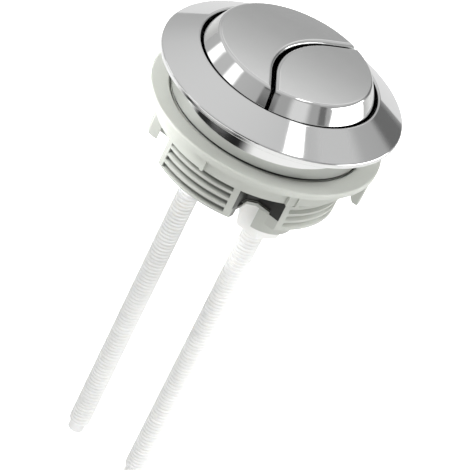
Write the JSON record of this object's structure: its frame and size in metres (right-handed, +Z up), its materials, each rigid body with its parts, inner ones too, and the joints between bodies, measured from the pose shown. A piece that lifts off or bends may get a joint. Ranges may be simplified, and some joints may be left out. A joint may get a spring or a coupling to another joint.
{
  "type": "push button cistern actuator",
  "caption": "Round dual-flush push button for a cistern lid: chrome bezel and split buttons over a threaded plastic body with ring nut, hexagonal plungers and long threaded push rods.",
  "frame": {"origin": "on the button's axis, in the plane where the bezel's rim rests on the cistern lid", "axes": "+Z up, out of the cistern along the direction the buttons stand; the two push rods hang from the X axis, the half-flush rod on +X"},
  "size_m": [0.073, 0.073, 0.1585],
  "materials": {
    "chrome_trim": "bright chrome plating on moulded plastic",
    "chrome_buttons": "bright chrome plating on moulded plastic",
    "body_plastic": "light grey moulded plastic, semi-gloss",
    "nut_plastic": "light grey moulded plastic, semi-gloss",
    "white_nylon": "milky white moulded nylon",
    "rod_nylon": "milky white nylon with a rolled thread",
    "spring_steel": "bright drawn spring wire"
  },
  "bodies": {
    "housing": {"bezel": "chrome_trim", "threaded_body": "body_plastic", "full_flush_spring": "spring_steel", "half_flush_spring": "spring_steel"},
    "nut": {"ring_nut": "nut_plastic"},
    "full_flush": {"full_flush_button": "chrome_buttons", "full_flush_plunger": "white_nylon"},
    "half_flush": {"half_flush_button": "chrome_buttons", "half_flush_plunger": "white_nylon"},
    "full_flush_push_rod": {"full_flush_rod": "rod_nylon"},
    "half_flush_push_rod": {"half_flush_rod": "rod_nylon"}
  },
  "joints": [
    {"name": "full_flush_press", "type": "slide", "parent": "housing", "child": "full_flush", "axis": [0, 0, -1], "range_m": [0, 0.007], "stiffness_N_per_m": 350, "springref_m": -0.012, "deforming": ["full_flush_spring"]},
    {"name": "half_flush_press", "type": "slide", "parent": "housing", "child": "half_flush", "axis": [0, 0, -1], "range_m": [0, 0.007], "stiffness_N_per_m": 350, "springref_m": -0.012, "deforming": ["half_flush_spring"]},
    {"name": "nut_travel", "type": "slide", "parent": "housing", "child": "nut", "axis": [0, 0, -1], "range_m": [0, 0.0109]},
    {"name": "full_flush_rod_adjust", "type": "slide", "parent": "full_flush", "child": "full_flush_push_rod", "axis": [0, 0, -1], "range_m": [-0.014, 0.005]},
    {"name": "half_flush_rod_adjust", "type": "slide", "parent": "half_flush", "child": "half_flush_push_rod", "axis": [0, 0, -1], "range_m": [-0.014, 0.005]}
  ]
}
